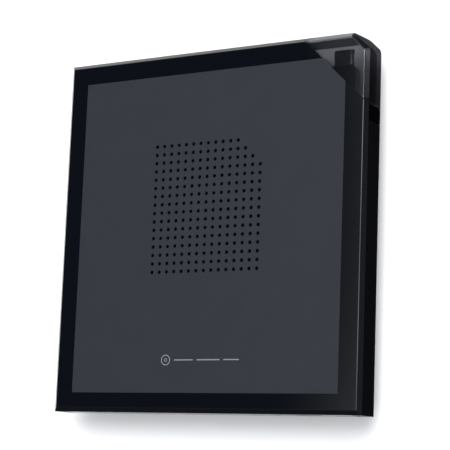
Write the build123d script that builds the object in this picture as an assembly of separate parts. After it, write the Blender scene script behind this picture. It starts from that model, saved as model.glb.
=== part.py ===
from build123d import *
import math
import os

# Slim external optical drive, millimetres.
# Origin: centre of the footprint on the desk. +X right, +Y rear, +Z up; the tray opens towards -Y.

# ---- driving dimensions -------------------------------------------------------------------------
WIDTH = 135.5
DEPTH = 142.5
HEIGHT = 21.0
CASE_BOTTOM = 9.4          # underside of the overhanging case, top of the cable groove
FLOOR_TOP = 10.4           # inside of the case floor
LID_BOTTOM = 19.5          # where the side walls end and the bevel starts
WALL = 2.0
BEVEL_OUT = 1.6            # how far the bevel draws the top face in
FACE_CUT = 6.54            # legs of the clipped corner on the top face
RIM_CUT = 6.6              # the same at the foot of the bevel
FOOT_CUT = 5.13            # the same at the bottom of the side walls; the facet leans outwards
FOOT_ROUND = 3.5           # rounding of the facet's two upright edges, fading out upwards
EDGE_ROUND = 0.5           # rounding between the top face and its bevel
LIP_BOTTOM, LIP_FRONT = 18.3, -66.0  # the locating lip leaves the front free for the tray
INSERT_FRONT = 33.9        # front end of the dark side piece, from the rear face
SEAM_LEG = 27.9            # legs of the clear corner, measured on the outline
SEAM_GAP = 0.06
ROOT2 = math.sqrt(2)
BELOW, ABOVE = -5.0, 30.0    # heights clear of every piece, for cuts right through
HALF_SUM = WIDTH / 2 + DEPTH / 2
SEAM = HALF_SUM - SEAM_LEG  # the seam is the line x + y = SEAM
INSERT_REAR = 60.0         # past the seam, which cuts the side piece off

# matte panel let into the lid
PANEL_LEFT, PANEL_RIGHT, PANEL_REAR, PANEL_FRONT = 8.9, 9.1, 8.8, 7.55
PANEL_THICK = 0.8
PANEL_GAP = 0.06
DOT_PITCH = 3.35
DOT_COLUMNS, DOT_ROWS = 15, 16
DOT_RADIUS = 0.75
DOT_FIRST_Y = -16.7
DOT_STEPS = {15: 12, 14: 13, 13: 14}  # rows near the rear hold fewer dots

# case floor and base under the case
FLOOR_OPENING = (52.0, -55.5, 51.0, 82.0)  # half width, front, rear, clipping diagonal
CABLE_SLOT = (50.5, 60.5, 21.0, 36.0)      # x and y of the slot where the cable rises
TRAY_DOOR = 63.2           # half width of the opening for the tray
HUB_INSET = 12.5
FLANGE_INSET = 6.5
FLANGE_BOTTOM, FLANGE_TOP = 0.8, 2.4
HUB_RADIUS = 6.0
FLANGE_RADIUS = 8.0
HUB_CUT_LINE = 80.0        # the hub's clipped corner, x + y
FLANGE_CUT_LINE = 88.0
FOOT_RADIUS = 5.0
FOOT_SINK = FLANGE_BOTTOM + 0.4
FEET = {
    "front_left": (-50, -54),
    "front_right": (50, -54),
    "rear_left": (-50, 54),
    "rear_right": (34, 44),
}
BASE_SCREWS = [(-44, -48), (44, -48), (-44, 46), (42, 28)]
SCREW_SINK = FLANGE_BOTTOM + 0.8
SCREW_BORE = 1.1
BOSS_TOP = 4.4             # four bosses carry the bridge board
BOSS_X, BOSS_Y = 27, (12, 32)

# cable and plug
CABLE_RADIUS = 1.7
CABLE_Z = 5.0
CABLE_INSET = 10.0
RISE_START_Y, RISE_END_Y = 23.8, 34.5  # where the cable leaves its groove and reaches the plug's height
RISE_BEND = 8.0
PLUG_X, PLUG_Z = 54.9, 14.0
PLUG_TIP_Y = 66.2
SHELL_LENGTH = 6.0
SHELL_WIDTH, SHELL_THICK = 8.3, 2.4
SHELL_WALL = 0.3
SHELL_ROOT = 1.2           # how far the carrier starts inside the shell
BOOT_WIDTH, BOOT_THICK = 11.4, 6.4
BOOT_FRONT_Y = 41.0
BOOT_CORNER, BOOT_RIM = 2.9, 1.6
BOOT_TAIL_Y = 38.0
GLAND_X = 8.0
GLAND_TAIL_X = 0.0
GARAGE_LINE = 85.0         # inner wall of the plug garage, x + y
CLIP_FRONT, CLIP_REAR, CLIP_BOTTOM, CLIP_WALL = 41.8, 46.4, 10.0, 1.2
BRIDGE_TOP = BOSS_TOP + 1.0  # upper face of the bridge board
BRIDGE_FRONT, BRIDGE_REAR = 8.0, 36.0

# drive module
MODULE_CUT = 83.0          # clipped corner of the module, x + y
MODULE_HALF = 64.0
MODULE_FRONT, MODULE_REAR = -68.5, 56.9
SHEET = 0.5
PAN_BOTTOM, PAN_TOP = 10.7, 18.7
PAN_FLOOR = PAN_BOTTOM + SHEET
FLEX = 0.15                # thickness of flat flex and ribbon
FLEX_LEFT, FLEX_RIGHT, FLEX_REAR, FLEX_FRONT = -18.0, -4.0, 57.6, 49.6
FLEX_BOTTOM, FLEX_LOW = FLOOR_TOP + 0.02, 7.0
RIBBON_LEFT, RIBBON_RIGHT, RIBBON_REAR, RIBBON_FRONT = 2.0, 9.8, 53.0, -40.0
RAIL_FRONT, RAIL_RIGHT_REAR, RAIL_LEFT_REAR = -68.2, 17.5, 50.0

# tray
DISC_Y = -7.0
DISC_RECESS = 60.5
TRAY_HALF = 59.8
TRAY_FRONT, TRAY_REAR = -69.05, 55.5
TRAY_CUT = 80.3
TRAY_BOTTOM, TRAY_TOP = 15.0, 18.2
RECESS_FLOOR = 16.2
BEZEL_HALF, BEZEL_BOTTOM, BEZEL_TOP = 62.95, 11.0, 19.2
BUTTON_X, BUTTON_Z = 44.0, 15.0
LED_X = 31.0

# traverse: local +X runs from the spindle along the pickup's travel
TRAVERSE = Pos(0, DISC_Y, 0) * Rot(0, 0, 135)
PLATE_BOTTOM, PLATE_TOP = 11.6, 12.1
ROD_Z = 13.4
ROD_RADIUS = 0.9
ROD_Y = (11.5, -9.0)
ROD_START, ROD_END = 14.4, 65.4
SCREW_Y = -16.5
LENS_REST = 24.0
TABLE_RADIUS, TABLE_TOP = 13.0, 16.4
HUB_DISC_RADIUS = 7.35     # centres the 15 mm hole of a disc
DAMPERS = [(-12, 22.5), (-12, -22.5), (68.6, -2)]

# electronics and latch of the tray
TRAY_BOARD_BOTTOM, TRAY_BOARD_TOP = 11.8, 12.6
LATCH_PIVOT = (30.0, 20.0)
LATCH_POST = (38.0, 30.0)
LATCH_BOTTOM, LATCH_TOP = 12.4, 13.6
PLUNGER_Y, PLUNGER_Z, PLUNGER_RADIUS = 25.0, 13.0, 0.7
EJECTOR_X = 21.0


# ---- helpers ------------------------------------------------------------------------------------
def block(x0, x1, y0, y1, z0, z1):
    """Box between two opposite corners."""
    centre = Pos((x0 + x1) / 2, (y0 + y1) / 2, (z0 + z1) / 2)
    return centre * Box(x1 - x0, y1 - y0, z1 - z0)


def disc(x, y, radius, z0, z1):
    """Upright cylinder between two heights."""
    return Pos(x, y, (z0 + z1) / 2) * Cylinder(radius, z1 - z0)


def ring(x, y, inner, outer, z0, z1):
    """Upright ring between two heights."""
    return disc(x, y, outer, z0, z1) - disc(x, y, inner, z0 - 1, z1 + 1)


def rod(x0, x1, y, z, radius):
    """Cylinder lying along X."""
    return Pos((x0 + x1) / 2, y, z) * Rot(0, 90, 0) * Cylinder(radius, x1 - x0)


def prism(points, z0, z1, radius=0.0):
    """Upright prism over a polygon, with its upright edges rounded if a radius is given."""
    face = Polygon(*points, align=None)
    if radius:
        face = fillet(face.vertices(), radius)
    return Pos(0, 0, z0) * extrude(face, z1 - z0)


def beyond(line):
    """Everything on the rear right of the diagonal x + y = line."""
    far = 200
    return prism([(line - far, far), (far, line - far), (far, far)], -50, 50)


def outline(inset, cut=FOOT_CUT):
    """The case's outline with its clipped rear right corner, drawn in by inset."""
    hw, hd = WIDTH / 2 - inset, DEPTH / 2 - inset
    line = HALF_SUM - cut - inset * ROOT2
    return [(-hw, -hd), (hw, -hd), (hw, line - hw), (line - hd, hd), (-hw, hd)]


def clipped(half, front, rear, line, left=None):
    """Rectangle with its rear right corner clipped by the diagonal x + y = line."""
    left = -half if left is None else left
    return [(left, front), (half, front), (half, line - half), (line - rear, rear), (left, rear)]


def both_sides(part):
    """A part and its mirror image across the middle plane."""
    return part + mirror(part, Plane.YZ)


# ---- case ---------------------------------------------------------------------------------------
def section(inset, cut, z):
    """Level section through the case."""
    return Pos(0, 0, z) * Polygon(*outline(inset, cut), align=None)


def top_slab():
    """The bevelled top, lid and clear corner together."""
    slab = loft([section(0, RIM_CUT, LID_BOTTOM), section(BEVEL_OUT, FACE_CUT, HEIGHT)], ruled=True)
    return fillet(slab.faces().sort_by(Axis.Z)[-1].edges(), EDGE_ROUND)


def walls_block(inset):
    """The case below its bevel as one block, drawn in by inset."""
    leaning = loft([section(inset, FOOT_CUT, CASE_BOTTOM), section(inset, RIM_CUT, LID_BOTTOM)], ruled=True)
    face = Polygon(*outline(inset), align=None)
    corners = face.vertices().sort_by(Axis((0, 0, 0), (1, 1, 0)))[-2:]
    return leaning & Pos(0, 0, CASE_BOTTOM) * extrude(fillet(corners, FOOT_ROUND), LID_BOTTOM - CASE_BOTTOM)


def panel_outline(gap):
    half_w, half_d = WIDTH / 2, DEPTH / 2
    x0, x1 = -half_w + PANEL_LEFT + gap, half_w - PANEL_RIGHT - gap
    y0, y1 = -half_d + PANEL_FRONT + gap, half_d - PANEL_REAR - gap
    return [(x0, y0), (x1, y0), (x1, SEAM - x1), (SEAM - y1, y1), (x0, y1)]


def lid_frame():
    """Glossy lid: bevelled plate with a pocket for the panel and a locating lip."""
    lid = top_slab()
    lid -= prism(panel_outline(0), HEIGHT - PANEL_THICK, HEIGHT + 1)
    lip_top, lip_out, lip_in = LID_BOTTOM + 0.1, WALL + 0.05, WALL + 0.95
    lip = prism(outline(lip_out), LIP_BOTTOM, lip_top) - prism(outline(lip_in), BELOW, ABOVE)
    lip -= block(-WIDTH, WIDTH, -DEPTH, LIP_FRONT, BELOW, ABOVE) + beyond(GARAGE_LINE)
    return lid + lip - beyond(SEAM - SEAM_GAP)


def top_panel():
    """Matte panel with a grid of round holes stepped at one corner."""
    panel = prism(panel_outline(PANEL_GAP), HEIGHT - PANEL_THICK, HEIGHT - 0.03) - beyond(SEAM - SEAM_GAP)
    first_x = -(DOT_COLUMNS - 1) / 2 * DOT_PITCH
    dots = []
    for row in range(DOT_ROWS):
        for column in range(DOT_STEPS.get(row, DOT_COLUMNS)):
            x, y = first_x + column * DOT_PITCH, DOT_FIRST_Y + row * DOT_PITCH
            dots.append(disc(x, y, DOT_RADIUS, HEIGHT - PANEL_THICK - 1, HEIGHT + 1))
    return panel - dots


def corner_window():
    """Smoked clear corner: roof and two side walls, open underneath."""
    whole = top_slab() + walls_block(0)
    inside = walls_block(WALL)
    window = (whole - inside) & beyond(SEAM + SEAM_GAP)
    lip = prism(outline(WALL + 1.4, RIM_CUT), LIP_BOTTOM + 0.1, LID_BOTTOM) & beyond(SEAM - 1.8)
    lip -= beyond(SEAM + 0.4)
    return window + lip


def side_insert():
    """Short dark piece of side wall between the case and the clear corner."""
    hw, front = WIDTH / 2, DEPTH / 2 - INSERT_FRONT
    wall = block(hw - WALL, hw, front + 0.25, INSERT_REAR, CASE_BOTTOM, LID_BOTTOM)
    tongue = block(hw - WALL - 1.0, hw - WALL, front - 3, INSERT_REAR, CASE_BOTTOM + 0.6, LID_BOTTOM - 1.5)
    return (wall + tongue) - beyond(SEAM - SEAM_GAP)


def lower_case():
    """Side walls and floor rim of the case, open at the front for the tray."""
    hw, hd = WIDTH / 2, DEPTH / 2
    case = prism(outline(0), CASE_BOTTOM, LID_BOTTOM)
    case -= prism(outline(WALL), FLOOR_TOP, 30)
    case -= prism(clipped(*FLOOR_OPENING), BELOW, FLOOR_TOP + 1)
    inside = prism(outline(WALL), BELOW, ABOVE)
    case -= inside & beyond(GARAGE_LINE)
    garage_wall = prism(outline(WALL - 0.2), CASE_BOTTOM, LID_BOTTOM)
    garage_wall = garage_wall & beyond(GARAGE_LINE)
    garage_wall -= beyond(GARAGE_LINE + 1.7)
    case += garage_wall
    case -= block(*CABLE_SLOT, BELOW, 15.5)
    case -= beyond(SEAM - SEAM_GAP)
    case -= block(hw - WALL - 0.01, hw + 1, hd - INSERT_FRONT, INSERT_REAR, BELOW, ABOVE)
    case -= block(-TRAY_DOOR, TRAY_DOOR, -hd - 1, -hd + WALL + 0.01, BEZEL_BOTTOM - 0.2, ABOVE)
    return case


def hub_outline(shrink=0.0):
    half, rear = WIDTH / 2 - HUB_INSET - shrink, DEPTH / 2 - HUB_INSET - shrink
    return clipped(half, -rear, rear, HUB_CUT_LINE - shrink * ROOT2)


def cable_hub():
    """Raised wall under the case that the cable is wound round."""
    hub = prism(hub_outline(), FLANGE_TOP, CASE_BOTTOM, HUB_RADIUS)
    hub -= prism(hub_outline(WALL), BELOW, ABOVE, HUB_RADIUS - WALL)
    return hub - block(GLAND_X + 1, GLAND_X + 9, 50, 65, 0, 8.0)


def base_cover():
    """Flange that keeps the cable in its groove and closes the hub from below."""
    half, rear = WIDTH / 2 - FLANGE_INSET, DEPTH / 2 - FLANGE_INSET
    cover = prism(clipped(half, -rear, rear, FLANGE_CUT_LINE), FLANGE_BOTTOM, FLANGE_TOP, FLANGE_RADIUS)
    for x, y in FEET.values():
        cover -= disc(x, y, FOOT_RADIUS + 0.1, 0, FOOT_SINK)
    for x, y in BASE_SCREWS:
        cover -= disc(x, y, 2.1, 0, SCREW_SINK)
        cover -= disc(x, y, SCREW_BORE, 0, 10)
        cover += ring(x, y, SCREW_BORE, 2.6, FLANGE_TOP, FLANGE_TOP + 4)
    for x in (-BOSS_X, BOSS_X):
        for y in BOSS_Y:
            cover += disc(x, y, 2.0, FLANGE_TOP, BOSS_TOP)
    return cover


def foot(x, y):
    """Round rubber foot let into the base."""
    pad = disc(x, y, FOOT_RADIUS, 0, FOOT_SINK)
    return chamfer(pad.edges().sort_by(Axis.Z)[0], 0.3)


def base_screws():
    """Four screws that hold the base on, heads sunk from below."""
    screws = []
    for x, y in BASE_SCREWS:
        head = disc(x, y, 1.9, FLANGE_BOTTOM + 0.1, SCREW_SINK)
        shank = disc(x, y, SCREW_BORE - 0.1, SCREW_SINK, FLANGE_TOP + 3.5)
        slot = block(x - 1.2, x + 1.2, y - 0.2, y + 0.2, 0, FOOT_SINK)
        cross = block(x - 0.2, x + 0.2, y - 1.2, y + 1.2, 0, FOOT_SINK)
        screws.append(head + shank - slot - cross)
    return Compound(children=screws)


# ---- cable, plug and bridge electronics -----------------------------------------------------------
def cable_route():
    """Once round the hub, then up through the floor into the garage."""
    gx, gy = WIDTH / 2 - CABLE_INSET, DEPTH / 2 - CABLE_INSET
    turn = HUB_RADIUS + HUB_INSET - CABLE_INSET
    points = [
        (GLAND_TAIL_X, gy, CABLE_Z),
        (-gx, gy, CABLE_Z),
        (-gx, -gy, CABLE_Z),
        (gx, -gy, CABLE_Z),
        (gx, RISE_START_Y, CABLE_Z),
        (PLUG_X, RISE_END_Y, PLUG_Z),
        (PLUG_X, BOOT_TAIL_Y, PLUG_Z),
    ]
    radii = [turn, turn, turn, RISE_BEND, RISE_BEND]
    return FilletPolyline(*points, radius=radii)


def usb_cable():
    route = cable_route()
    section = Plane(origin=route @ 0, z_dir=route % 0) * Circle(CABLE_RADIUS)
    cable = sweep(section, path=route)
    plain = math.pi * CABLE_RADIUS ** 2 * route.length
    print(f"cable {route.length:.1f} mm long, volume {cable.volume / plain:.4f} of section x length")
    return cable


def cable_gland():
    """Strain relief that brings the cable out of the hub."""
    gy = DEPTH / 2 - CABLE_INSET
    body = block(GLAND_X, GLAND_X + 10, 59.0, gy + 2.4, FLANGE_TOP, 8.0)
    neck = block(GLAND_X + 1.1, GLAND_X + 8.9, 55.8, 59.1, FLANGE_TOP, 7.9)
    centre = Pos((GLAND_X + GLAND_TAIL_X) / 2, gy, CABLE_Z)
    tail = centre * Rot(0, -90, 0) * Cone(2.4, 1.95, GLAND_X - GLAND_TAIL_X)
    return body + neck + tail


def inner_lead():
    """Flat lead from the strain relief to the bridge board."""
    return block(11, 15, 36.2, 55.8, 6.0, 7.2)


def plug_boot():
    """Moulded grip of the plug with a short tapered tail."""
    half = BOOT_WIDTH / 2
    rear = PLUG_TIP_Y - SHELL_LENGTH
    bottom, top = PLUG_Z - BOOT_THICK / 2, PLUG_Z + BOOT_THICK / 2
    body = block(PLUG_X - half, PLUG_X + half, BOOT_FRONT_Y, rear, bottom, top)
    upright = body.edges().filter_by(Axis.Z)
    body = fillet(upright, BOOT_CORNER)
    rims = body.faces().sort_by(Axis.Z)[0].edges() + body.faces().sort_by(Axis.Z)[-1].edges()
    body = fillet(rims, BOOT_RIM)
    length = BOOT_FRONT_Y - BOOT_TAIL_Y + 1
    tail = Pos(PLUG_X, BOOT_TAIL_Y + length / 2, PLUG_Z) * Rot(90, 0, 0) * Cone(2.9, 2.1, length)
    return body + tail


def shell_mouth():
    """Oval section of the space inside the plug's shell."""
    return SlotOverall(SHELL_WIDTH - 2 * SHELL_WALL, SHELL_THICK - 2 * SHELL_WALL)


def plug_shell():
    """Oval metal shell of the plug."""
    rear = PLUG_TIP_Y - SHELL_LENGTH
    plane = Plane(origin=(PLUG_X, rear, PLUG_Z), x_dir=(1, 0, 0), z_dir=(0, 1, 0))
    outer = extrude(plane * SlotOverall(SHELL_WIDTH, SHELL_THICK), SHELL_LENGTH)
    bore = extrude(plane.offset(SHELL_ROOT) * shell_mouth(), SHELL_LENGTH)
    return outer - bore


def plug_contacts():
    """Contact carrier inside the shell, with its open mouth."""
    rear = PLUG_TIP_Y - SHELL_LENGTH
    plane = Plane(origin=(PLUG_X, rear + SHELL_ROOT, PLUG_Z), x_dir=(1, 0, 0), z_dir=(0, 1, 0))
    carrier = extrude(plane * shell_mouth(), SHELL_LENGTH - 1.5)
    mouth = extrude(plane.offset(1.0) * RectangleRounded(6.7, 0.8, 0.3), SHELL_LENGTH)
    return carrier - mouth


def plug_holder():
    """Clip under the lid that grips the plug's boot."""
    half, y0, y1 = BOOT_WIDTH / 2 + 0.3, CLIP_FRONT, CLIP_REAR
    top = PLUG_Z + BOOT_THICK / 2 + 0.3
    reach = half + CLIP_WALL
    clip = block(PLUG_X - reach, PLUG_X + reach, y0, y1, top, LID_BOTTOM)
    for side in (-1, 1):
        inner, outer = sorted((PLUG_X + side * half, PLUG_X + side * reach))
        clip += block(inner, outer, y0, y1, CLIP_BOTTOM, top + 0.1)
        inner, outer = sorted((PLUG_X + side * (half - 0.7), PLUG_X + side * reach))
        clip += block(inner, outer, y0, y1, CLIP_BOTTOM, CLIP_BOTTOM + 0.6)
    return clip


def bridge_board():
    """Board in the hub that turns the drive's signals into USB."""
    board = block(-BOSS_X - 3, BOSS_X + 3, BRIDGE_FRONT, BRIDGE_REAR, BOSS_TOP, BRIDGE_TOP)
    for x in (-BOSS_X, BOSS_X):
        board -= disc(x, BOSS_Y[0], 0.8, BELOW, ABOVE)
    return board


def bridge_parts():
    """Bridge chip, crystal, regulator, capacitors and the two connectors of the board."""
    parts = [
        block(-8, 4, 16, 28, BRIDGE_TOP, BRIDGE_TOP + 1.2),
        block(10, 13.2, 14, 16.5, BRIDGE_TOP, BRIDGE_TOP + 0.8),
        block(-20, -16, 14, 18, BRIDGE_TOP, BRIDGE_TOP + 1.6),
        block(-22, -14, 31, 35, BRIDGE_TOP, BRIDGE_TOP + 2.2),
        block(10, 16, 30.5, 36.2, BRIDGE_TOP, BRIDGE_TOP + 2.6),
    ]
    for index in range(6):
        x = -12 + index * 4
        parts.append(block(x, x + 1.6, 11, 11.8, BRIDGE_TOP, BRIDGE_TOP + 0.8))
    return Compound(children=parts)


def sata_flex():
    """Flat flex from the drive module's connector down to the bridge board."""
    left, right, bottom, top = FLEX_LEFT, FLEX_RIGHT, FLEX_BOTTOM, FLEX_BOTTOM + FLEX
    flat = block(left, right, FLEX_FRONT, FLEX_REAR, bottom, top)
    rise = block(left, right, FLEX_REAR - FLEX, FLEX_REAR, bottom, 13.6)
    drop = block(left, right, FLEX_FRONT, FLEX_FRONT + FLEX, FLEX_LOW, top)
    reach = block(left, left + 4, BRIDGE_REAR - 1, FLEX_FRONT + FLEX, FLEX_LOW, FLEX_LOW + FLEX)
    return flat + rise + drop + reach


# ---- drive module ---------------------------------------------------------------------------------
def chassis_pan():
    """Sheet steel pan of the drive module, open at the front."""
    body = prism(clipped(MODULE_HALF, MODULE_FRONT, MODULE_REAR, MODULE_CUT), PAN_BOTTOM, PAN_TOP)
    hollow = clipped(MODULE_HALF - SHEET, MODULE_FRONT - 1, MODULE_REAR - SHEET, MODULE_CUT - SHEET * ROOT2)
    body -= prism(hollow, PAN_FLOOR, 30)
    return body - block(-20, 10, 50, 60, PAN_FLOOR + 0.1, 15.2)


def chassis_cover():
    """Sheet steel lid of the drive module."""
    plate = prism(clipped(MODULE_HALF, MODULE_FRONT, MODULE_REAR, MODULE_CUT), PAN_TOP, PAN_TOP + SHEET)
    return plate - disc(0, DISC_Y, 9, PAN_TOP - 1, PAN_TOP + 0.15)


def rail_guide(rear):
    """Fixed plastic channel on the right; the sliding rail runs in it."""
    guide = block(60.6, MODULE_HALF - SHEET, RAIL_FRONT, rear, PAN_FLOOR, 16.0)
    channel = block(60.0, 62.6, RAIL_FRONT - 1, rear - 1.5, 12.0, 15.3)
    return guide - channel


def slide_rail(rear):
    """Steel C rail between the guide and the tray."""
    rail = block(60.3, 62.4, RAIL_FRONT, rear - 2.0, 12.15, 15.15)
    return rail - block(60.0, 61.8, RAIL_FRONT - 1, rear, 12.75, 14.55)


def latch_post():
    """Post on the pan that the tray latch hooks."""
    x, y = LATCH_POST
    return disc(x, y, 1.0, PAN_FLOOR, 14.0) + disc(x, y, 1.5, PAN_FLOOR, PAN_FLOOR + 0.4)


def sata_board():
    """Small board at the rear of the pan with the module's connector."""
    return block(-20, 10, 47, 54.0, 11.45, 12.0)


def module_connector():
    body = block(-19, 9, 52.6, 57.3, 12.0, 15.0)
    return body - block(-17.5, 7.5, 55.5, 58, 12.7, 14.3)


def module_screws():
    """Screws that hold the steel cover down on the pan's corners."""
    screws = []
    for x, y in [(-61, 53.5), (-61, -60), (61, -60), (22, 53.5)]:
        screws.append(disc(x, y, 1.3, PAN_TOP + SHEET, PAN_TOP + SHEET + 0.25))
    return Compound(children=screws)


def ejector_pusher():
    """Sprung pusher at the rear of the pan, here held back by the closed tray."""
    x = EJECTOR_X
    return block(x - 2, x + 2, 44.0, 51.0, 11.6, 14.4) + block(x - 1, x + 1, 42.5, 44.0, 12.2, 13.8)


def ejector_spring():
    """Coil of the ejector, drawn as its wire rings on a core."""
    x, first, pitch, radius = EJECTOR_X, 51.3, 0.75, 1.0
    spring = Pos(x, 53.65, 13.0) * Rot(90, 0, 0) * Cylinder(radius - 0.2, 5.2)
    for index in range(7):
        spring += Pos(x, first + index * pitch, 13.0) * Rot(90, 0, 0) * Torus(radius, 0.25)
    return spring


def tray_ribbon():
    """Flat ribbon from the rear board to the board under the tray."""
    bottom, top = PAN_FLOOR + 0.02, PAN_FLOOR + 0.02 + FLEX
    flat = block(RIBBON_LEFT, RIBBON_RIGHT, RIBBON_FRONT, RIBBON_REAR, bottom, top)
    reach = block(RIBBON_LEFT, 22, RIBBON_FRONT - 4, RIBBON_FRONT, bottom, top)
    return flat + reach


# ---- tray -----------------------------------------------------------------------------------------
def traverse_outline(grow=0.0):
    """Plan of the traverse in its own frame."""
    left, right, front, step, rear = -20 - grow, 66 + grow, -20 - grow, 15 + grow, 20 + grow
    return [(left, front), (right, front), (right, step), (18, step), (18, rear), (left, rear)]


def disc_tray():
    """Tray with its disc recess, side skirts and the ribs that run in the rails."""
    tray = prism(clipped(TRAY_HALF, TRAY_FRONT, TRAY_REAR, TRAY_CUT), TRAY_BOTTOM, TRAY_TOP)
    tray -= disc(0, DISC_Y, DISC_RECESS, RECESS_FLOOR, 30)
    tray -= disc(0, DISC_Y, 41.0, RECESS_FLOOR - 0.25, 30)
    tray -= TRAVERSE * prism(traverse_outline(0.5), 0, RECESS_FLOOR + 0.5)
    for side, rear in ((1, RAIL_RIGHT_REAR), (-1, RAIL_LEFT_REAR)):
        x0, x1 = sorted((side * 58.4, side * TRAY_HALF))
        tray += block(x0, x1, TRAY_FRONT, rear, 11.6, TRAY_BOTTOM + 0.1)
        x0, x1 = sorted((side * 59.7, side * 61.5))
        tray += block(x0, x1, TRAY_FRONT + 1.2, rear - 2.5, 12.9, 14.4)
    for x, y in DAMPERS:
        tray += TRAVERSE * disc(x, y, 1.2, PLATE_BOTTOM, TRAY_BOTTOM + 0.2)
    x, y = LATCH_PIVOT
    tray += disc(x, y, 1.0, 11.7, TRAY_BOTTOM + 0.2)
    tray += block(EJECTOR_X - 1, EJECTOR_X + 1, 40.4, 42.2, 12.0, TRAY_BOTTOM + 0.1)
    tray -= block(BUTTON_X - 5.6, BUTTON_X + 5.6, TRAY_FRONT - 1, -66.8, 0, BUTTON_Z + 1.8)
    tray -= block(LED_X - 2.4, LED_X + 2.4, TRAY_FRONT - 1, -67.0, 0, BUTTON_Z + 0.9)
    for x in (-1, 1):
        tray -= disc(x * 30, 54.0, 5.0, BELOW, ABOVE)
    return tray


def front_bezel():
    """Front strip of the tray with the button's slot, the light and the release hole."""
    y0, y1 = -DEPTH / 2, TRAY_FRONT
    bezel = block(-BEZEL_HALF, BEZEL_HALF, y0, y1, BEZEL_BOTTOM, BEZEL_TOP)
    bezel = chamfer(bezel.faces().sort_by(Axis.Y)[0].edges(), 0.4)
    bezel -= block(BUTTON_X - 5.2, BUTTON_X + 5.2, y0 - 1, y1 + 1, BUTTON_Z - 1.6, BUTTON_Z + 1.6)
    bezel -= block(LED_X - 2.0, LED_X + 2.0, y0 - 1, y1 + 1, BUTTON_Z - 0.6, BUTTON_Z + 0.6)
    hole = Pos(LED_X - 10, (y0 + y1) / 2, BUTTON_Z) * Rot(90, 0, 0) * Cylinder(0.6, 10)
    return bezel - hole


def led_pipe():
    return block(LED_X - 1.95, LED_X + 1.95, -DEPTH / 2 + 0.1, -67.4, BUTTON_Z - 0.55, BUTTON_Z + 0.55)


def eject_button():
    """Eject button with the flange that keeps it in the bezel."""
    front = -DEPTH / 2
    cap = block(BUTTON_X - 5.0, BUTTON_X + 5.0, front + 0.05, -68.5, BUTTON_Z - 1.4, BUTTON_Z + 1.4)
    cap = chamfer(cap.faces().sort_by(Axis.Y)[0].edges(), 0.3)
    return cap + block(BUTTON_X - 1.0, BUTTON_X + 1.0, -68.6, -68.1, BUTTON_Z - 1.4, BUTTON_Z - 0.2)


def eject_switch():
    body = block(BUTTON_X - 2.2, BUTTON_X + 2.2, -66.9, -64.5, 12.6, 14.8)
    return body + block(BUTTON_X - 0.8, BUTTON_X + 0.8, -67.3, -66.9, 13.6, 14.6)


def tray_board():
    """Controller board under the front of the tray."""
    return block(14, 57, -67.2, -38, TRAY_BOARD_BOTTOM, TRAY_BOARD_TOP)


def tray_chips():
    parts = [
        block(24, 34, -58, -48, TRAY_BOARD_TOP, TRAY_BOARD_TOP + 1.2),
        block(40, 47, -56, -49, TRAY_BOARD_TOP, TRAY_BOARD_TOP + 1.1),
        block(16, 22, -45, -40, TRAY_BOARD_TOP, TRAY_BOARD_TOP + 1.8),
    ]
    for index in range(7):
        x = 26 + index * 3.6
        parts.append(block(x, x + 1.6, -44, -43.2, TRAY_BOARD_TOP, TRAY_BOARD_TOP + 0.8))
    return Compound(children=parts)


def traverse_plate():
    """Steel plate that carries spindle, rods and pickup."""
    plate = prism(traverse_outline(), PLATE_BOTTOM, PLATE_TOP)
    plate -= block(16.5, 63.3, -14.3, 13.0, BELOW, ABOVE)
    plate -= disc(0, 0, 4.5, BELOW, ABOVE)
    for x, y in DAMPERS:
        plate += disc(x, y, 3.4, PLATE_BOTTOM, PLATE_TOP)
    for x, y in DAMPERS:
        plate -= disc(x, y, 1.4, BELOW, ABOVE)
    for y in ROD_Y:
        for x in (ROD_START, ROD_END - 2.0):
            holder = block(x, x + 2.0, y - 1.5, y + 1.5, PLATE_TOP - 0.1, ROD_Z + 1.2)
            plate += holder
        plate -= rod(ROD_START - 1, ROD_END + 1, y, ROD_Z, ROD_RADIUS)
    plate -= block(1.5, 12.2, SCREW_Y - 2.2, SCREW_Y + 2.2, BELOW, ABOVE)
    plate += block(63.4, 65.4, SCREW_Y - 1.6, SCREW_Y + 1.6, PLATE_TOP - 0.1, ROD_Z + 1.2)
    plate -= rod(63.0, 66.0, SCREW_Y, ROD_Z, 0.96)
    return TRAVERSE * plate


def traverse_cover():
    """Thin cover over the traverse with the spindle hole and the pickup's slot."""
    cover = prism(traverse_outline(), 15.35, 15.7)
    cover -= disc(0, 0, 14.2, BELOW, ABOVE)
    cover -= block(10, 63.2, -7.0, 7.0, BELOW, ABOVE)
    return TRAVERSE * cover


def traverse_dampers():
    """Rubber bushes between the tray and the traverse."""
    bushes = [TRAVERSE * ring(x, y, 1.25, 2.8, PLATE_TOP, TRAY_BOTTOM) for x, y in DAMPERS]
    return Compound(children=bushes)


def spindle_stator():
    """Fixed half of the spindle motor."""
    base = disc(0, 0, 12.2, PLATE_TOP, 12.6) - disc(0, 0, 1.08, BELOW, ABOVE)
    return TRAVERSE * (base + ring(0, 0, 1.08, 3.0, 12.6, 14.0))


def spindle_rotor():
    """Motor can, turntable and the hub that centres the disc."""
    can = disc(0, 0, TABLE_RADIUS, 12.9, 15.0) - ring(0, 0, 0.9, 11.8, 12.0, 14.4)
    table = disc(0, 0, TABLE_RADIUS, 14.9, TABLE_TOP)
    hub = chamfer(disc(0, 0, HUB_DISC_RADIUS, TABLE_TOP - 0.1, TRAY_TOP).edges().sort_by(Axis.Z)[-1], 0.7)
    rotor = can + table + hub + disc(0, 0, 1.0, 12.3, 15.0)
    for index in range(3):
        pocket = block(3.6, 9.0, -1.1, 1.1, 16.9, 17.7)
        rotor -= Rot(0, 0, 120 * index) * pocket
    return TRAVERSE * rotor


def turntable_pad():
    return TRAVERSE * ring(0, 0, 8.6, 12.6, TABLE_TOP, TABLE_TOP + 0.2)


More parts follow.
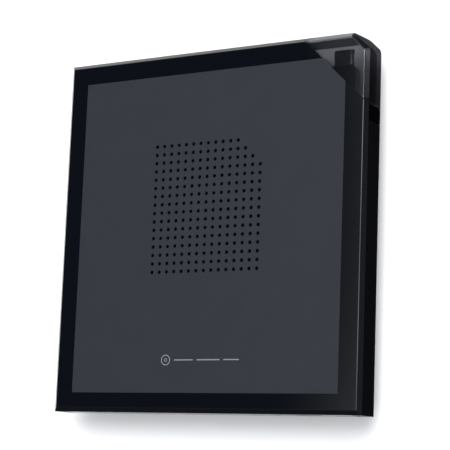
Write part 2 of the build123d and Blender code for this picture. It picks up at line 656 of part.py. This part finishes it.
def disc_claw(index):
    """Sprung claw of the hub that grips the disc's edge."""
    claw = block(4.6, 7.6, -0.95, 0.95, 17.0, 17.6)
    return TRAVERSE * Rot(0, 0, 120 * index) * claw


def guide_rods():
    """The two steel rods that the pickup slides on."""
    rods = [TRAVERSE * rod(ROD_START + 0.1, ROD_END - 0.1, y, ROD_Z, ROD_RADIUS - 0.01) for y in ROD_Y]
    return Compound(children=rods)


def stepper_motor():
    """Motor that turns the lead screw."""
    body = rod(2.0, 12.2, SCREW_Y, ROD_Z, 1.85)
    body += block(12.2, 13.4, SCREW_Y - 2.0, SCREW_Y + 2.0, PLATE_TOP, ROD_Z + 1.5)
    return TRAVERSE * (body - rod(12.0, 15.0, SCREW_Y, ROD_Z, 0.96))


def lead_screw():
    """Screw with a row of shallow thread grooves."""
    screw = rod(12.4, 65.2, SCREW_Y, ROD_Z, 0.9)
    for index in range(22):
        x = 17 + index * 2.0
        groove = rod(x, x + 0.6, SCREW_Y, ROD_Z, 1.2) - rod(x - 1, x + 2, SCREW_Y, ROD_Z, 0.72)
        screw -= groove
    return TRAVERSE * screw


def pickup_carriage():
    """Optical pickup on its two rods, with the finger that follows the lead screw."""
    x0, x1 = LENS_REST - 6, LENS_REST + 6
    body = block(x0, x1, -11.5, 12.8, 11.9, 14.9)
    body -= block(LENS_REST - 5, LENS_REST + 5, -5, 5, 12.4, 20)
    body += block(LENS_REST - 2, LENS_REST + 2, -15.3, -11.4, 12.4, 14.4)
    for y in ROD_Y:
        body -= rod(x0 - 1, x1 + 1, y, ROD_Z, ROD_RADIUS + 0.05)
    return TRAVERSE * body


def lens_holder():
    """Lens bobbin that floats in the pickup."""
    frame = block(LENS_REST - 3.5, LENS_REST + 3.5, -4.2, 4.2, 13.0, 15.3)
    return TRAVERSE * (frame - disc(LENS_REST, 0, 2.0, 14.6, 16))


def objective_lens():
    lens = disc(LENS_REST, 0, 2.0, 14.6, 15.4)
    return TRAVERSE * fillet(lens.edges().sort_by(Axis.Z)[-1], 0.5)


def latch_lever():
    """Hooked lever, drawn swung clear of its post."""
    x, y = LATCH_PIVOT
    arm = [(-1.4, 0), (1.4, 0), (4.0, 10.0), (4.0, 13.2)]
    hook = [(6.5, 13.2), (6.5, 15.0), (1.8, 15.0), (1.8, 10.0)]
    lever = prism([(x + px, y + py) for px, py in arm + hook], LATCH_BOTTOM, LATCH_TOP)
    lever += disc(x, y, 2.0, LATCH_BOTTOM, LATCH_TOP)
    return lever - disc(x, y, 1.05, BELOW, ABOVE)


def latch_solenoid():
    body = block(14.0, 25.0, PLUNGER_Y - 4, PLUNGER_Y + 4, 12.0, TRAY_BOTTOM)
    return body - rod(18.0, 26.0, PLUNGER_Y, PLUNGER_Z, PLUNGER_RADIUS + 0.05)


def solenoid_plunger():
    return rod(20.0, 29.4, PLUNGER_Y, PLUNGER_Z, PLUNGER_RADIUS)


def write(name, part):
    part.label = name
    export_step(part, f"parts/{name}.step")


def main():
    os.makedirs("parts", exist_ok=True)
    right, left = RAIL_RIGHT_REAR, RAIL_LEFT_REAR
    nodes = {
        "lid_frame": lid_frame(),
        "top_panel": top_panel(),
        "corner_window": corner_window(),
        "side_insert": side_insert(),
        "lower_case": lower_case(),
        "cable_hub": cable_hub(),
        "base_cover": base_cover(),
        "base_screws": base_screws(),
        "usb_cable": usb_cable(),
        "cable_gland": cable_gland(),
        "inner_lead": inner_lead(),
        "plug_boot": plug_boot(),
        "plug_shell": plug_shell(),
        "plug_contacts": plug_contacts(),
        "plug_holder": plug_holder(),
        "bridge_board": bridge_board(),
        "bridge_parts": bridge_parts(),
        "sata_flex": sata_flex(),
        "chassis_pan": chassis_pan(),
        "chassis_cover": chassis_cover(),
        "rail_guide_right": rail_guide(right),
        "rail_guide_left": mirror(rail_guide(left), Plane.YZ),
        "slide_rail_right": slide_rail(right),
        "slide_rail_left": mirror(slide_rail(left), Plane.YZ),
        "latch_post": latch_post(),
        "sata_board": sata_board(),
        "module_connector": module_connector(),
        "module_screws": module_screws(),
        "ejector_pusher": ejector_pusher(),
        "ejector_spring": ejector_spring(),
        "tray_ribbon": tray_ribbon(),
        "disc_tray": disc_tray(),
        "front_bezel": front_bezel(),
        "led_pipe": led_pipe(),
        "eject_button": eject_button(),
        "eject_switch": eject_switch(),
        "tray_board": tray_board(),
        "tray_chips": tray_chips(),
        "traverse_plate": traverse_plate(),
        "traverse_cover": traverse_cover(),
        "traverse_dampers": traverse_dampers(),
        "spindle_stator": spindle_stator(),
        "spindle_rotor": spindle_rotor(),
        "turntable_pad": turntable_pad(),
        "stepper_motor": stepper_motor(),
        "lead_screw": lead_screw(),
        "guide_rods": guide_rods(),
        "pickup_carriage": pickup_carriage(),
        "lens_holder": lens_holder(),
        "objective_lens": objective_lens(),
        "latch_lever": latch_lever(),
        "latch_solenoid": latch_solenoid(),
        "solenoid_plunger": solenoid_plunger(),
    }
    for place, (x, y) in FEET.items():
        nodes[f"foot_{place}"] = foot(x, y)
    for index in range(3):
        nodes[f"disc_claw_{index + 1}"] = disc_claw(index)
    for name, part in nodes.items():
        write(name, part)
    print(len(nodes), "nodes")


main()
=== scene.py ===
import math

import bmesh
import bpy
from mathutils import Matrix, Vector


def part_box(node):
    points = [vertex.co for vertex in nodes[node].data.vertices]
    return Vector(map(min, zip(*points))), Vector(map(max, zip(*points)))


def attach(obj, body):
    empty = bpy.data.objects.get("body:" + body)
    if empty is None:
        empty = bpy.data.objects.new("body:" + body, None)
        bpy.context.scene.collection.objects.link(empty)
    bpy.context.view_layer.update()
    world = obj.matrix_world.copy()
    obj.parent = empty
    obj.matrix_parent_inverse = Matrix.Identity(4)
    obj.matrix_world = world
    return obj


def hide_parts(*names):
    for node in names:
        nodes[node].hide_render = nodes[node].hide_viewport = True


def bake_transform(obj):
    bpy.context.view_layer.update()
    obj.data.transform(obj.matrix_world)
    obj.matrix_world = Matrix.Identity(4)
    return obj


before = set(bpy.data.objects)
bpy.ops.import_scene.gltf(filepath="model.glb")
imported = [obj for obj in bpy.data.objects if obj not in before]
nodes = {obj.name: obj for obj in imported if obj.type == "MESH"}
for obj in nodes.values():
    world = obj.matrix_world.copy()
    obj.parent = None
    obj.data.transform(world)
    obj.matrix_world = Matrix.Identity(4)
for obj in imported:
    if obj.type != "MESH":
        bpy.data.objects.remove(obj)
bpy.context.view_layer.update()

# Looks of the slim external optical drive: camera, light, materials and the fine pieces CAD leaves out.
MM = 0.001
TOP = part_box("lid_frame")[1].z

# camera: lens and sensor in millimetres, its place in metres, and the axes it is turned to
LENS, SENSOR = 122.54, 36.0
EYE = Vector((0.30178, -0.09574, TOP + 0.49976))
EYE_RIGHT = Vector((0.86535, 0.03754, -0.49976))
EYE_UP = Vector((0.05000, 0.98575, 0.16062))
EYE_BACK = Vector((0.49867, -0.16398, 0.85114))

# print near the front of the panel: a disc sign and three dashes on one line
MARK_Y = -51.05 * MM
SIGN_X = -15.3 * MM
SIGN_RINGS = [(1.72 * MM, 2.05 * MM, 48), (0.42 * MM, 0.66 * MM, 24)]  # inner radius, outer radius, corners
DASHES = [(-11.5 * MM, -3.0 * MM), (-1.4 * MM, 8.8 * MM), (10.4 * MM, 17.2 * MM)]
DASH_HEIGHT = 0.42 * MM

# ejector spring: radius of the wire, turns, steps in each turn
COIL_WIRE, COIL_TURNS, COIL_STEPS = 0.22 * MM, 7, 20

# ribbon to the tray: its width, the length of its foot and the length held in the rear connector
RIBBON_WIDTH, RIBBON_FOOT, RIBBON_CLAMP = 7.8 * MM, 4.0 * MM, 2.0 * MM
# rows of corners along it, rows in each ripple, half a ripple's height
RIBBON_STEPS, RIBBON_WAVE, RIBBON_RIPPLE = 60, 12, 0.03 * MM


# ---- material helpers -----------------------------------------------------------------------------
class Shader:
    """A principled material with noise-driven colour, roughness and bump."""

    def __init__(self, name, colour, roughness, metallic=0.0, specular=0.5):
        self.material = bpy.data.materials.new(name)
        self.material.use_nodes = True
        self.tree = self.material.node_tree
        self.bsdf = self.tree.nodes["Principled BSDF"]
        self.bsdf.inputs["Base Color"].default_value = (*colour, 1)
        self.bsdf.inputs["Roughness"].default_value = roughness
        self.bsdf.inputs["Metallic"].default_value = metallic
        self.bsdf.inputs["Specular IOR Level"].default_value = specular
        self.colour = colour
        self.place = self.tree.nodes.new("ShaderNodeTexCoord").outputs["Object"]
        self.height = None

    def node(self, kind, **values):
        made = self.tree.nodes.new(kind)
        for key, value in values.items():
            if key in made.inputs:
                made.inputs[key].default_value = value
            else:
                setattr(made, key, value)
        return made

    def link(self, output, socket):
        self.tree.links.new(output, socket)

    def split(self, vector):
        """The three parts of a vector."""
        parts = self.node("ShaderNodeSeparateXYZ")
        self.link(vector, parts.inputs[0])
        return parts.outputs

    def normal(self):
        """The three parts of the surface's own direction."""
        return self.split(self.node("ShaderNodeTexCoord").outputs["Normal"])

    def maths(self, operation, first, second=None):
        """One step of arithmetic; an input is another node's output or a plain number."""
        made = self.node("ShaderNodeMath", operation=operation)
        for socket, value in zip(made.inputs, (first, second)):
            if isinstance(value, bpy.types.NodeSocket):
                self.link(value, socket)
            elif value is not None:
                socket.default_value = value
        return made.outputs[0]

    def blend(self, first, second, share):
        """Second colour over the first, by share."""
        mixed = self.node("ShaderNodeMix", data_type="RGBA")
        for socket, value in (("A", first), ("B", second)):
            if isinstance(value, tuple):
                mixed.inputs[socket].default_value = value
            else:
                self.link(value, mixed.inputs[socket])
        self.link(share, mixed.inputs["Factor"])
        return mixed.outputs["Result"]

    def noise(self, size, detail=3.0, stretch=(1, 1, 1)):
        """Noise whose blobs are about size metres across."""
        mapping = self.node("ShaderNodeMapping")
        mapping.inputs["Scale"].default_value = stretch
        self.link(self.place, mapping.inputs["Vector"])
        noise = self.node("ShaderNodeTexNoise", Scale=1.0 / size, Detail=detail)
        self.link(mapping.outputs["Vector"], noise.inputs["Vector"])
        return noise.outputs["Fac"]

    def ramp(self, value, low, high, to_low, to_high):
        """Maps a value from one range to another."""
        ranged = self.node("ShaderNodeMapRange")
        for key, number in zip(("From Min", "From Max", "To Min", "To Max"), (low, high, to_low, to_high)):
            ranged.inputs[key].default_value = number
        self.link(value, ranged.inputs["Value"])
        return ranged.outputs["Result"]

    def mottle(self, size, amount):
        """Varies the colour a little in blobs of that size."""
        other = [c * (1 + amount) for c in self.colour]
        mixed = self.blend((*self.colour, 1), (*other, 1), self.noise(size))
        self.link(mixed, self.bsdf.inputs["Base Color"])
        return self

    def uneven(self, size, low, high, stretch=(1, 1, 1)):
        """Varies the roughness between two values."""
        varied = self.ramp(self.noise(size, stretch=stretch), 0.3, 0.7, low, high)
        self.link(varied, self.bsdf.inputs["Roughness"])
        return self

    def bump(self, size, depth, strength=0.5, stretch=(1, 1, 1)):
        """Adds a fine relief; several calls stack up."""
        made = self.node("ShaderNodeBump", Strength=strength, Distance=depth)
        self.link(self.noise(size, detail=2.0, stretch=stretch), made.inputs["Height"])
        if self.height:
            self.link(self.height, made.inputs["Normal"])
        self.height = made.outputs["Normal"]
        self.link(self.height, self.bsdf.inputs["Normal"])
        return self

    def set(self, **values):
        for key, value in values.items():
            self.bsdf.inputs[key.replace("_", " ")].default_value = value
        return self


def gloss_shader(name, colour, specular, roughness):
    """Polished plastic with a faint orange peel and uneven polish."""
    made = Shader(name, colour, roughness[0], specular=specular)
    return made.mottle(0.03, 0.15).uneven(0.012, *roughness).bump(0.0022, 0.000002, 0.15)


def gloss_plastic(name, colour, specular=0.5, roughness=(0.05, 0.09)):
    return gloss_shader(name, colour, specular, roughness).material


def lid_plastic(name, colour):
    """The lid's gloss; the pocket floor under the panel is left dull."""
    specular = 0.5
    made = gloss_shader(name, colour, specular, (0.04, 0.07))
    slanted = made.ramp(made.normal()[2], 0.97, 0.99, specular, 0.0)
    high = made.ramp(made.split(made.place)[2], TOP - 0.5 * MM, TOP - 0.3 * MM, 0.0, specular)
    made.link(made.maths("MAXIMUM", slanted, high), made.bsdf.inputs["Specular IOR Level"])
    return made.material


def matte_plastic(name, colour, grain=0.00035, depth=0.00001, roughness=(0.5, 0.62), specular=0.4):
    """Spark-eroded plastic with a fine grain."""
    made = Shader(name, colour, roughness[0], specular=specular)
    made.mottle(0.01, 0.2).uneven(0.004, *roughness).bump(grain, depth, 0.5)
    return made.material


def rubber(name, colour):
    made = Shader(name, colour, 0.7, specular=0.3)
    made.mottle(0.004, 0.35).uneven(0.003, 0.62, 0.78).bump(0.0005, 0.000015, 0.5)
    return made.material


def metal(name, colour, roughness=(0.22, 0.36), stretch=(1, 1, 1), size=0.002):
    """Bare metal; stretch sets the way it is brushed or rolled."""
    made = Shader(name, colour, roughness[0], metallic=1.0)
    made.mottle(0.006, -0.12).uneven(size, *roughness, stretch=stretch)
    made.bump(size * 0.5, 0.000002, 0.3, stretch=stretch)
    return made.material


def smoked_clear(name):
    """Smoked clear plastic, shiny only where it faces up; its tint carries painted light and shade set by
    face direction and height: near clear on the rim bevels and lighter near the foot as painted light, dark
    on the side walls and almost black on the corner facet as painted shade.
    """
    # Painted light and shade: each tint below stands for how light or dark that face is meant to look, not
    # for a change in the smoke; the rim is painted light, the side walls and the facet are painted shade.
    roof, foot, rim_painted_light = (0.103, 0.106, 0.118, 1), (0.17, 0.17, 0.183, 1), (0.9, 0.9, 0.95, 1)
    rear, side, facet_painted_shade = (0.13, 0.13, 0.14, 1), (0.018, 0.018, 0.021, 1), (0.004, 0.004, 0.005, 1)
    made = Shader(name, roof[:3], 0.03)
    made.set(Transmission_Weight=1.0)
    made.uneven(0.01, 0.015, 0.04).bump(0.004, 0.000002, 0.1)
    across, along, up = [made.maths("ABSOLUTE", part) for part in made.normal()]

    upward = made.ramp(up, 0.2, 0.7, 0.0, 1.0)
    on_facet = made.ramp(made.maths("MULTIPLY", across, along), 0.12, 0.2, 0.0, 1.0)
    on_rim = made.maths("MULTIPLY", made.ramp(across, 0.45, 0.6, 0.0, 1.0), upward)
    near_roof = made.ramp(made.split(made.place)[2], TOP - 10 * MM, TOP - 3 * MM, 0.0, 1.0)
    level = made.blend(made.blend(foot, roof, near_roof), rim_painted_light, on_rim)
    walls = made.blend(side, rear, made.ramp(along, 0.8, 0.95, 0.0, 1.0))
    # the smoke's tint with the painted light and shade blended in by face direction
    smoke_and_painted_shade = made.blend(made.blend(walls, level, upward), facet_painted_shade, on_facet)
    made.link(smoke_and_painted_shade, made.bsdf.inputs["Base Color"])
    made.link(made.ramp(upward, 0.0, 1.0, 1.01, 1.49), made.bsdf.inputs["IOR"])
    return made.material


def circuit_board(name):
    """Solder resist over copper tracks."""
    resist = (0.012, 0.09, 0.045)
    made = Shader(name, resist, 0.35)
    bricks = made.node("ShaderNodeTexBrick", Scale=420.0)
    bricks.inputs["Color1"].default_value = (*resist, 1)
    bricks.inputs["Color2"].default_value = (0.016, 0.12, 0.06, 1)
    bricks.inputs["Mortar"].default_value = (0.03, 0.17, 0.08, 1)
    bricks.inputs["Mortar Size"].default_value = 0.04
    made.link(made.place, bricks.inputs["Vector"])
    made.link(bricks.outputs["Color"], made.bsdf.inputs["Base Color"])
    made.uneven(0.002, 0.25, 0.45).bump(0.0006, 0.00001, 0.4)
    return made.material


def striped_film(name, film, stripe, pitch):
    """Flat flex: parallel conductors that show through the film."""
    gap = 0.55  # share of the pitch that is film alone
    made = Shader(name, film, 0.35)
    steps = made.maths("MULTIPLY", made.split(made.place)[0], 1.0 / pitch)
    over = made.maths("GREATER_THAN", made.maths("FRACT", steps), gap)
    made.link(made.blend((*film, 1), (*stripe, 1), over), made.bsdf.inputs["Base Color"])
    made.bump(0.001, 0.00001, 0.3)
    return made.material


def clear_part(name, colour, roughness, clearness, variation):
    """Small moulded optic that lets part of the light through."""
    made = Shader(name, colour, roughness)
    return made.set(Transmission_Weight=clearness).mottle(0.001, variation).material


def materials():
    satin = (0.4, 0.5)
    return {
        "lid": lid_plastic("lid_gloss", (0.0009, 0.0011, 0.0018)),
        "case": gloss_plastic("case_gloss", (0.0010, 0.0010, 0.0016), 0.001, (0.1, 0.16)),
        "insert": gloss_plastic("insert_gloss", (0.0003, 0.00025, 0.0007), 0.0004, (0.1, 0.15)),
        "panel": matte_plastic("panel_matte", (0.0166, 0.0187, 0.0235), 0.0003, 0.000006, specular=0.15),
        "window": smoked_clear("window_smoked"),
        "black": matte_plastic("black_textured", (0.012, 0.012, 0.013)),
        "tray": matte_plastic("tray_textured", (0.018, 0.018, 0.02), 0.0004),
        "rubber": rubber("rubber_black", (0.016, 0.016, 0.016)),
        "jacket": matte_plastic("cable_jacket", (0.014, 0.014, 0.015), 0.0009, 0.00002, (0.42, 0.52)),
        "grip": matte_plastic("plug_grip", (0.012, 0.012, 0.015), 0.0003, roughness=satin),
        "nickel": metal("nickel_plate", (0.72, 0.71, 0.69), (0.12, 0.2)),
        "sheet": metal("zinc_sheet", (0.56, 0.57, 0.58), (0.28, 0.42), stretch=(1, 12, 1)),
        "rod": metal("ground_steel", (0.66, 0.66, 0.67), (0.12, 0.2)),
        "cast": metal("cast_magnesium", (0.36, 0.36, 0.37), (0.4, 0.55), size=0.001),
        "copper": metal("copper_wound", (0.6, 0.3, 0.16), (0.3, 0.4), stretch=(1, 1, 30), size=0.001),
        "board": circuit_board("board_resist"),
        "chip": matte_plastic("moulded_package", (0.012, 0.012, 0.012), 0.0002, roughness=satin),
        "amber": striped_film("amber_flex", (0.25, 0.1, 0.015), (0.5, 0.24, 0.08), 0.0007),
        "white": striped_film("white_ribbon", (0.55, 0.55, 0.53), (0.3, 0.3, 0.3), 0.0006),
        "ivory": matte_plastic("ivory_moulding", (0.5, 0.46, 0.38), roughness=satin),
        "lamp": clear_part("light_pipe", (0.55, 0.7, 0.6), 0.3, 0.6, 0.2),
        "lens": clear_part("coated_lens", (0.45, 0.55, 0.85), 0.03, 0.7, 0.3),
        "print": matte_plastic("light_print", (0.16, 0.165, 0.175), 0.0002, 0.000003, satin),
    }


FINISH = {
    "lid": ["lid_frame", "front_bezel", "eject_button"],
    "case": ["lower_case"],
    "insert": ["side_insert"],
    "panel": ["top_panel"],
    "window": ["corner_window"],
    "black": ["cable_hub", "base_cover", "plug_contacts", "plug_holder", "rail_guide_right",
              "rail_guide_left", "traverse_cover", "disc_claw_1", "disc_claw_2", "disc_claw_3"],
    "tray": ["disc_tray"],
    "rubber": ["cable_gland", "traverse_dampers", "turntable_pad", "foot_front_left",
               "foot_front_right", "foot_rear_left", "foot_rear_right"],
    "jacket": ["usb_cable", "inner_lead"],
    "grip": ["plug_boot"],
    "nickel": ["plug_shell"],
    "sheet": ["base_screws", "chassis_pan", "chassis_cover", "slide_rail_right", "slide_rail_left",
              "module_screws", "traverse_plate", "stepper_motor"],
    "rod": ["latch_post", "ejector_spring", "spindle_rotor", "lead_screw", "guide_rods",
            "solenoid_plunger"],
    "cast": ["pickup_carriage"],
    "copper": ["spindle_stator", "latch_solenoid"],
    "board": ["bridge_board", "sata_board", "tray_board"],
    "chip": ["bridge_parts", "eject_switch", "tray_chips", "lens_holder"],
    "amber": ["sata_flex"],
    "white": ["tray_ribbon"],
    "ivory": ["module_connector", "ejector_pusher", "latch_lever"],
    "lamp": ["led_pipe"],
    "lens": ["objective_lens"],
}


def dress(looks):
    """Gives every CAD node its material."""
    for look, names in FINISH.items():
        for name in names:
            mesh = nodes[name].data
            mesh.materials.clear()
            mesh.materials.append(looks[look])


def soften(names, width):
    """Breaks the sharp edges of CAD nodes with a narrow bevel."""
    for name in names:
        weld = nodes[name].modifiers.new("weld", "WELD")
        weld.merge_threshold = 0.002 * MM
        bevel = nodes[name].modifiers.new("bevel", "BEVEL")
        bevel.width = width
        bevel.segments = 2
        bevel.limit_method = "ANGLE"
        bevel.angle_limit = math.radians(30)
        bevel.harden_normals = True


# ---- stage ----------------------------------------------------------------------------------------
def placed(name, data):
    """A new object with that data, linked into the scene."""
    made = bpy.data.objects.new(name, data)
    bpy.context.scene.collection.objects.link(made)
    return made


def floor():
    """Plain pale floor."""
    mesh = bpy.data.meshes.new("floor")
    half = 3.0
    corners = [(-half, -half, 0), (half, -half, 0), (half, half, 0), (-half, half, 0)]
    mesh.from_pydata(corners, [], [(0, 1, 2, 3)])
    stage = placed("floor", mesh)
    made = Shader("floor_pale", (0.93, 0.93, 0.93), 0.8, specular=0.1)
    made.mottle(0.5, 0.02).bump(0.01, 0.00001, 0.1)
    mesh.materials.append(made.material)


GLOW = (1.74, 1.77, 1.80)  # of the dome
SOFT_BOXES = [
    # direction, inner angle, outer angle in degrees, strength
    ((0.30, 0.40, 0.87), 10, 24, 7.0),
]
FLAGS = [
    # direction, inner angle, outer angle in degrees, how much red, green and blue it holds back
    ((-0.83, 0.17, 0.53), 29.6, 38, (0.963, 0.952, 0.93)),
    ((0.84, 0.12, 0.53), 16, 34, (0.86, 0.86, 0.84)),
    ((0.30, 0.94, 0.12), 16, 40, (0.90, 0.90, 0.88)),
    ((-0.48, -0.84, 0.24), 32, 56, (0.95, 0.945, 0.93)),
]


def sky():
    """Studio light: a pale dome with one soft box above and dark flags, all with wide soft edges."""
    world = bpy.data.worlds.new("studio")
    bpy.context.scene.world = world
    world.use_nodes = True
    tree = world.node_tree
    ray = tree.nodes.new("ShaderNodeTexCoord").outputs["Generated"]

    def vector(operation, first, second):
        made = tree.nodes.new("ShaderNodeVectorMath")
        made.operation = operation
        for socket, value in zip(made.inputs, (first, second)):
            if isinstance(value, bpy.types.NodeSocket):
                tree.links.new(value, socket)
            else:
                socket.default_value = value
        return made

    def patch(direction, inner, outer, low, high):
        """Goes from low to high as the ray nears the direction."""
        near = tree.nodes.new("ShaderNodeMapRange")
        near.data_type = "FLOAT_VECTOR"
        near.interpolation_type = "SMOOTHSTEP"
        sockets = {socket.identifier: socket for socket in near.inputs}
        sockets["From_Min_FLOAT3"].default_value = [math.cos(math.radians(outer))] * 3
        sockets["From_Max_FLOAT3"].default_value = [math.cos(math.radians(inner))] * 3
        sockets["To_Min_FLOAT3"].default_value = low
        sockets["To_Max_FLOAT3"].default_value = high
        dot = vector("DOT_PRODUCT", ray, Vector(direction).normalized())
        tree.links.new(dot.outputs["Value"], sockets["Vector"])
        return near.outputs["Vector"]

    total = GLOW
    for direction, inner, outer, held in FLAGS:
        shade = patch(direction, inner, outer, (1, 1, 1), [1 - part for part in held])
        total = vector("MULTIPLY", shade, total).outputs["Vector"]
    for direction, inner, outer, strength in SOFT_BOXES:
        glow = patch(direction, inner, outer, (0, 0, 0), [strength] * 3)
        total = vector("ADD", glow, total).outputs["Vector"]
    tree.links.new(total, tree.nodes["Background"].inputs["Color"])


def camera():
    """Camera above and to the right of the drive, turned so that the rear edge is up."""
    data = bpy.data.cameras.new("camera")
    data.sensor_width = SENSOR
    data.lens = LENS
    data.clip_start = 10 * MM
    eye = placed("camera", data)
    turn = Matrix((EYE_RIGHT, EYE_UP, EYE_BACK)).transposed().to_4x4()
    eye.matrix_world = Matrix.Translation(EYE) @ turn
    bpy.context.scene.camera = eye


# ---- fine pieces ----------------------------------------------------------------------------------
def finished(name, bm, material):
    """An object made of the built mesh, with one material."""
    mesh = bpy.data.meshes.new(name)
    bm.to_mesh(mesh)
    bm.free()
    mesh.materials.append(material)
    return placed(name, mesh)


def piece(name, bm, material, body):
    """A finished piece that rides on one body."""
    made = finished(name, bm, material)
    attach(made, body)
    return made


def joined(bm, loops):
    """Faces between each loop of corners and the next one."""
    for a, b in loops:
        count = len(a)
        for i in range(count):
            j = (i + 1) % count
            bm.faces.new((a[i], a[j], b[j], b[i]))


def raised(bm, outline, low, high):
    """Closed slab over a flat outline."""
    bottom = [bm.verts.new((x, y, low)) for x, y in outline]
    top = [bm.verts.new((x, y, high)) for x, y in outline]
    bm.faces.new(reversed(bottom))
    bm.faces.new(top)
    joined(bm, [(bottom, top)])


def raised_ring(bm, centre, inner, outer, low, high, count):
    """Closed flat ring."""
    turn = [2 * math.pi * i / count for i in range(count)]
    loops = []
    for radius, z in ((inner, low), (outer, low), (outer, high), (inner, high)):
        points = [(centre[0] + radius * math.cos(a), centre[1] + radius * math.sin(a), z) for a in turn]
        loops.append([bm.verts.new(point) for point in points])
    joined(bm, zip(loops, loops[1:] + loops[:1]))


def rounded_bar(x0, x1, y, height, steps=6):
    """Outline of a bar with round ends."""
    radius = height / 2
    points = []
    for centre, start in ((x1 - radius, -90), (x0 + radius, 90)):
        for i in range(steps + 1):
            a = math.radians(start + 180 * i / steps)
            points.append((centre + radius * math.cos(a), y + radius * math.sin(a)))
    return points


def printed_mark(look):
    """Plain disc sign and dashes, printed near the front of the panel."""
    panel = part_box("top_panel")[1].z
    low, high = panel - 0.01 * MM, panel + 0.02 * MM
    bm = bmesh.new()
    for inner, outer, count in SIGN_RINGS:
        raised_ring(bm, (SIGN_X, MARK_Y), inner, outer, low, high, count)
    for x0, x1 in DASHES:
        raised(bm, rounded_bar(x0, x1, MARK_Y, DASH_HEIGHT), low, high)
    piece("printed_mark", bm, look, "drive")


def tube(bm, path, radius, sides=8):
    """Closed tube round a path; every ring stands across the path there."""
    last = len(path) - 1
    turn = [2 * math.pi * k / sides for k in range(sides)]
    rings = []
    for i, point in enumerate(path):
        along = (path[min(i + 1, last)] - path[max(i - 1, 0)]).normalized()
        across = along.orthogonal() if i == 0 else across - along * across.dot(along)
        across.normalize()
        other = along.cross(across)
        spokes = [math.cos(a) * across + math.sin(a) * other for a in turn]
        rings.append([bm.verts.new(point + radius * spoke) for spoke in spokes])
    joined(bm, zip(rings, rings[1:]))
    bm.faces.new(reversed(rings[0]))
    bm.faces.new(rings[-1])


def ejector_coil(look):
    """The ejector's spring as one wound wire."""
    low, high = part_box("ejector_spring")
    middle, radius = (low + high) / 2, (high.z - low.z) / 2 - COIL_WIRE
    length, count = high.y - low.y - 2 * COIL_WIRE, COIL_TURNS * COIL_STEPS
    path = []
    for i in range(count + 1):
        a = 2 * math.pi * i / COIL_STEPS
        y = low.y + COIL_WIRE + length * i / count
        path.append(Vector((middle.x + radius * math.cos(a), y, middle.z + radius * math.sin(a))))
    bm = bmesh.new()
    tube(bm, path, COIL_WIRE)
    coil = piece("ejector_coil", bm, look, "drive")
    for face in coil.data.polygons:
        face.use_smooth = True
    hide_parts("ejector_spring")


def tray_flex(look):
    """The ribbon to the tray: a rippled run ending in a flat foot, built in place as one mesh."""
    low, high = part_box("tray_ribbon")
    right, foot = low.x + RIBBON_WIDTH, low.y + RIBBON_FOOT
    bm = bmesh.new()

    def row(y, lift):
        """Four corners of the ribbon's section."""
        section = ((low.x, low.z), (right, low.z), (right, high.z), (low.x, high.z))
        return [bm.verts.new((x, y, z + lift)) for x, z in section]

    rows = []
    for i in range(RIBBON_STEPS + 1):
        ripple = RIBBON_RIPPLE * (1 - math.cos(2 * math.pi * i / RIBBON_WAVE))
        rows.append(row(high.y + (foot - high.y) * i / RIBBON_STEPS, ripple))
    rows.append(row(low.y, 0.0))
    joined(bm, zip(rows, rows[1:]))
    bm.faces.new(rows[0])
    bm.faces.new(reversed(rows[-1]))
    raised(bm, [(right, low.y), (high.x, low.y), (high.x, foot), (right, foot)], low.z, high.z)
    flex = finished("tray_flex", bm, look)
    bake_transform(flex)
    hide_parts("tray_ribbon")


def main():
    camera()
    floor()
    sky()
    looks = materials()
    dress(looks)
    soften(["lower_case", "front_bezel", "eject_button"], 0.12 * MM)
    printed_mark(looks["print"])
    ejector_coil(looks["rod"])
    tray_flex(looks["white"])
    bpy.context.scene.view_settings.view_transform = "Standard"


main()
